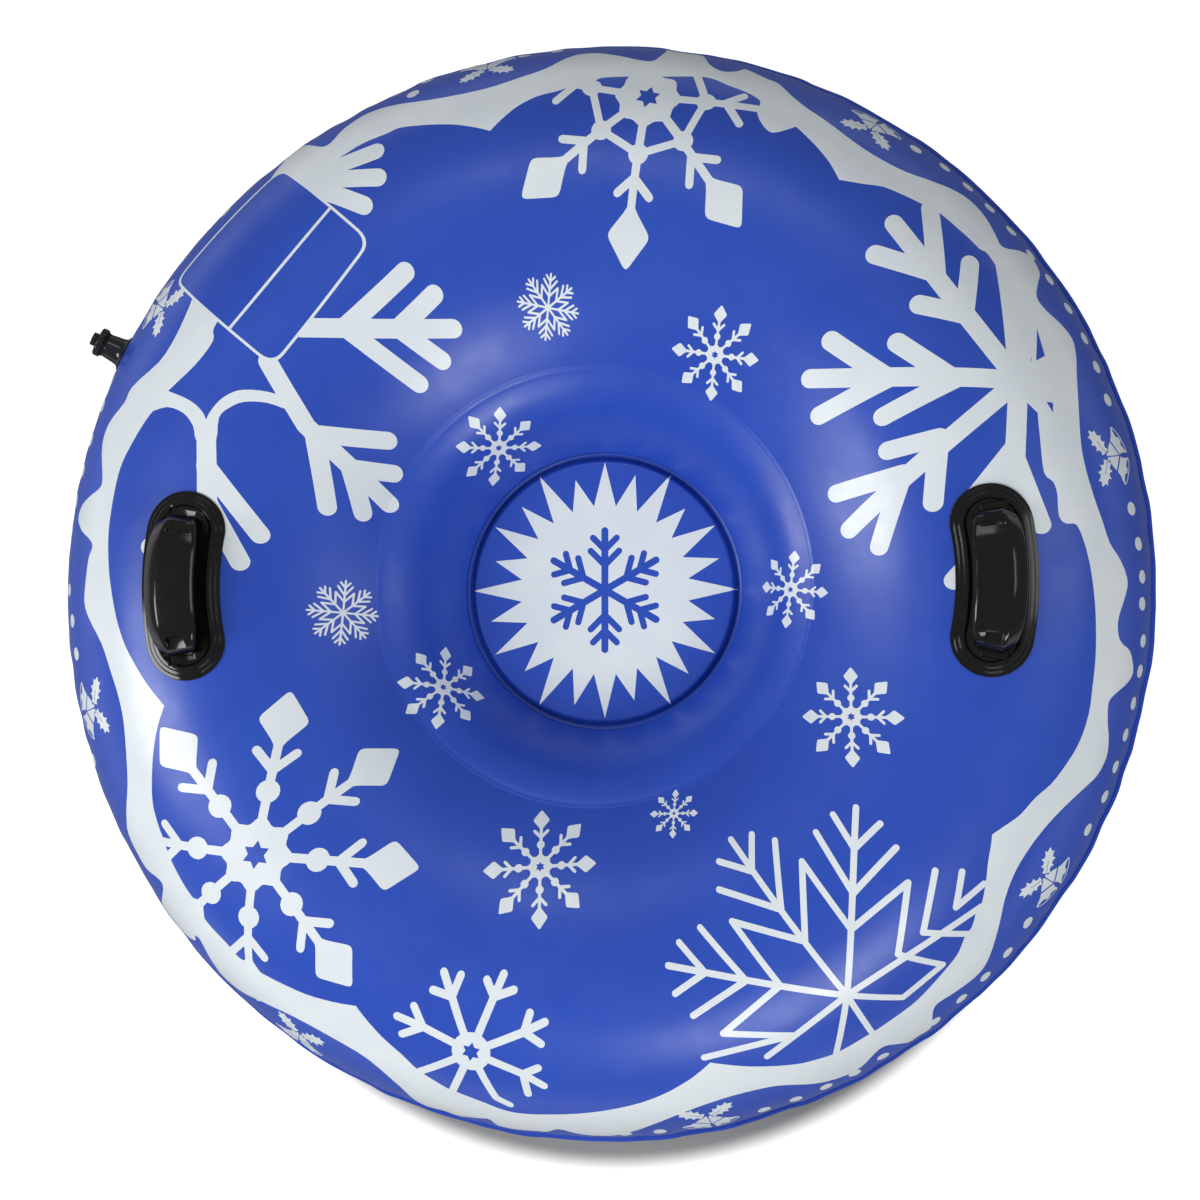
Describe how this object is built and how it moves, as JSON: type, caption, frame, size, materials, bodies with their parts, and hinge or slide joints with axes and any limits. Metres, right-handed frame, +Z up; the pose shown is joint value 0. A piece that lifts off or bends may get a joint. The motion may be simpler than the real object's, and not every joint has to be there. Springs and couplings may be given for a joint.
{
  "type": "snow tube",
  "caption": "Inflatable ring sled for snow: a sunk round seat, moulded grab handles on both sides and a screw valve with a check flap and a plug.",
  "frame": {"origin": "middle of the tube on the surface that it lies on", "axes": "+Z up through the seat, X through the two handles, with the valve on the outer flank at -X and +Y"},
  "size_m": [0.96, 0.96, 0.2943],
  "materials": {
    "printed_pvc": "satin blue sheet vinyl with a white and dark blue winter print",
    "base_pvc": "slick plain blue sheet vinyl",
    "handle_pvc": "glossy black soft moulded vinyl",
    "valve_soft_pvc": "smoky glossy soft vinyl",
    "valve_plastic": "hard black moulded plastic",
    "seal_rubber": "matt black rubber"
  },
  "bodies": {
    "tube": {"top_sheet": "printed_pvc", "base_sheet": "base_pvc", "tie_wall": "base_pvc", "right_handle_plate": "handle_pvc", "left_handle_plate": "handle_pvc", "right_grip": "handle_pvc", "left_grip": "handle_pvc", "right_handle_patch": "base_pvc", "left_handle_patch": "base_pvc", "valve_base": "valve_soft_pvc"},
    "seal": {"valve_seal": "seal_rubber"},
    "insert": {"valve_insert": "valve_plastic"},
    "plug": {"valve_plug": "valve_plastic"},
    "flap": {"valve_flap": "seal_rubber"}
  },
  "joints": [
    {"name": "valve_insert_lift", "type": "slide", "parent": "tube", "child": "seal", "axis": [-0.8813, 0.4394, 0.1736], "range_m": [0, 0.0045]},
    {"name": "valve_insert_turn", "type": "hinge", "parent": "seal", "child": "insert", "pos_m": [-0.42484, 0.21182, 0.15319], "axis": [-0.8813, 0.4394, 0.1736], "range_deg": [0, 540]},
    {"name": "valve_plug_pull", "type": "slide", "parent": "insert", "child": "plug", "axis": [-0.8813, 0.4394, 0.1736], "range_m": [0, 0.012]},
    {"name": "valve_flap_open", "type": "slide", "parent": "insert", "child": "flap", "axis": [0.8813, -0.4394, -0.1736], "range_m": [0, 0.002], "stiffness_N_per_m": 5}
  ],
  "couplings": [
    {"joint": "valve_insert_turn", "follows": "valve_insert_lift", "rad_per_m": 2094}
  ]
}
